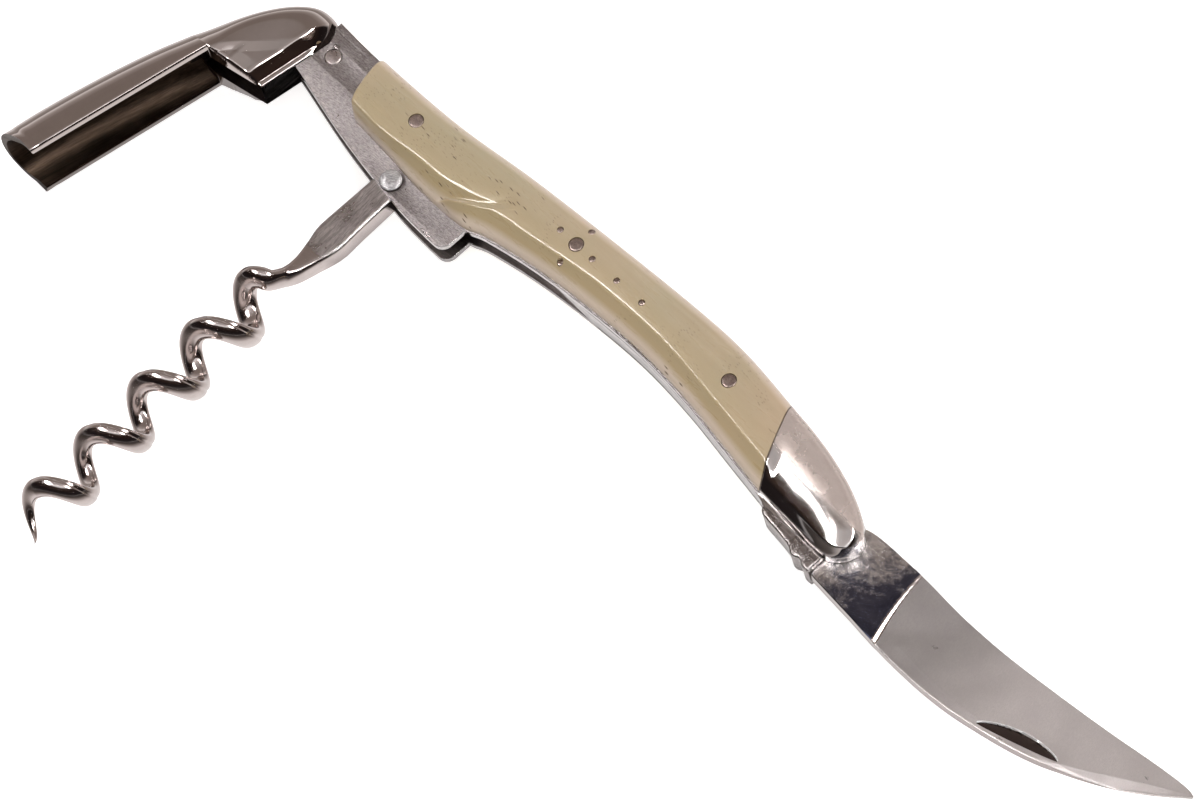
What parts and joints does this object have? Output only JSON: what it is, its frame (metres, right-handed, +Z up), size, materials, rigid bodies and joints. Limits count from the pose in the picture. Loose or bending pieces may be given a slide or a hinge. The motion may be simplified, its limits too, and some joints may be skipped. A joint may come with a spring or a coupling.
{
  "type": "waiters corkscrew",
  "caption": "Folding waiters corkscrew: curved knife blade, open-coil worm and bottle-lip lever pivoting in a slim two-scale handle with metal bolsters.",
  "frame": {"origin": "centre of the centre rivet, on the flat land of the rear scale that the tool rests on", "axes": "+Z up through the thickness, from the rear scale to the front scale; +X along the handle from the lever pivot towards the blade pivot; +Y towards the convex back of the handle"},
  "size_m": [0.2008, 0.0893, 0.013],
  "materials": {
    "bone": "polished bone, fine dark pores",
    "liner_steel": "brushed along the handle",
    "polished_steel": "mirror polished",
    "spring_steel": "satin",
    "blade_steel": "fine satin",
    "worm_steel": "polished coil, brushed shank",
    "pin_steel": "ground flush"
  },
  "bodies": {
    "handle": {"liner_front": "liner_steel", "liner_rear": "liner_steel", "scale_front": "bone", "scale_rear": "bone", "bolster_front": "polished_steel", "bolster_rear": "polished_steel", "back_spring": "spring_steel", "lever_spring": "spring_steel", "lever_stop_pin": "pin_steel", "front_rivet": "pin_steel", "centre_rivet": "pin_steel", "rear_rivets": "pin_steel", "inlay_pins_front": "pin_steel", "inlay_pins_rear": "pin_steel", "blade_pivot_pin": "polished_steel", "worm_pivot_pin": "polished_steel"},
    "blade": {"blade": "blade_steel"},
    "worm": {"worm": "worm_steel"},
    "lever": {"lever_shell": "polished_steel", "lever_cam": "spring_steel", "lever_pivot_pin": "pin_steel"}
  },
  "joints": [
    {"name": "blade_pivot", "type": "hinge", "parent": "handle", "child": "blade", "pos_m": [0.0577, -0.0029, 0.0065], "axis": [0, 0, 1], "range_deg": [0, 170]},
    {"name": "lever_pivot", "type": "hinge", "parent": "handle", "child": "lever", "pos_m": [-0.0558, -0.0033, 0.0065], "axis": [0, 0, 1], "range_deg": [0, 99]},
    {"name": "worm_pivot", "type": "hinge", "parent": "handle", "child": "worm", "pos_m": [-0.029, -0.0106, 0.0065], "axis": [0, 0, 1], "range_deg": [0, 86]}
  ],
  "couplings": [
    {"joint": "worm_pivot", "follows": "lever_pivot", "ratio": 0.865}
  ]
}
